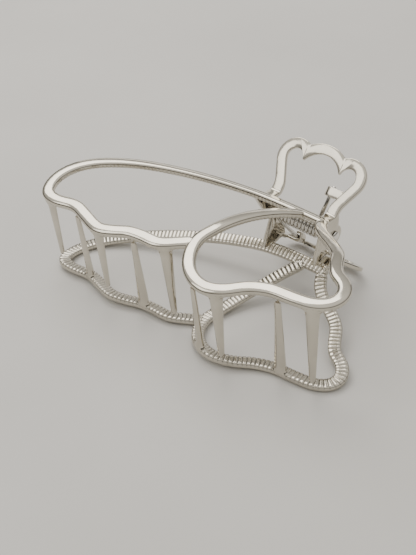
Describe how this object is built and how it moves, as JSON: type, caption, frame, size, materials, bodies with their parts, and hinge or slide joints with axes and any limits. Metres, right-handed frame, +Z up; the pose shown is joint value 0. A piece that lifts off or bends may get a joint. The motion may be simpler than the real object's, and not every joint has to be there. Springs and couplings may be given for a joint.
{
  "type": "butterfly claw hair clip",
  "caption": "Metal butterfly claw clip: two open-frame toothed jaws hinged on a riveted pin and sprung shut, opened by two frame handles.",
  "frame": {"origin": "under the middle of the clip, on the surface that it lies on", "axes": "+X along the hinge pin, from the big wing to the small wing; +Y from the toothed edge to the finger handles; +Z up"},
  "size_m": [0.1108, 0.0724, 0.0456],
  "materials": {
    "plated_casting": "bright nickel plate on a zinc casting, polished",
    "pin_steel": "plated steel, domed rivet heads",
    "spring_steel": "drawn spring wire, plated"
  },
  "bodies": {
    "lower_jaw": {"lower_hinge_bar": "plated_casting", "lower_big_wing_rim": "plated_casting", "lower_small_wing_rim": "plated_casting", "lower_centre_strut": "plated_casting", "lower_left_ear": "plated_casting", "lower_right_ear": "plated_casting", "lower_handle": "plated_casting", "lower_left_handle_foot": "plated_casting", "lower_right_handle_foot": "plated_casting", "lower_spring_tab": "plated_casting", "lower_tooth_1": "plated_casting", "lower_tooth_2": "plated_casting", "lower_tooth_3": "plated_casting", "lower_tooth_4": "plated_casting", "hinge_pin": "pin_steel", "torsion_spring_coil": "spring_steel", "torsion_spring_lower_leg": "spring_steel"},
    "upper_jaw": {"upper_hinge_bar": "plated_casting", "upper_big_wing_rim": "plated_casting", "upper_small_wing_rim": "plated_casting", "upper_centre_strut": "plated_casting", "upper_left_ear": "plated_casting", "upper_right_ear": "plated_casting", "upper_handle": "plated_casting", "upper_left_handle_foot": "plated_casting", "upper_right_handle_foot": "plated_casting", "upper_spring_tab": "plated_casting", "upper_tooth_1": "plated_casting", "upper_tooth_2": "plated_casting", "upper_tooth_3": "plated_casting", "upper_tooth_4": "plated_casting", "upper_tooth_5": "plated_casting", "torsion_spring_upper_leg": "spring_steel"}
  },
  "joints": [
    {"name": "jaw_hinge", "type": "hinge", "parent": "lower_jaw", "child": "upper_jaw", "pos_m": [0.01402, 0.0203, 0.0215], "axis": [-1, 0, 0], "range_deg": [0, 60], "stiffness_Nm_per_rad": 0.11, "springref_deg": -40.11}
  ]
}
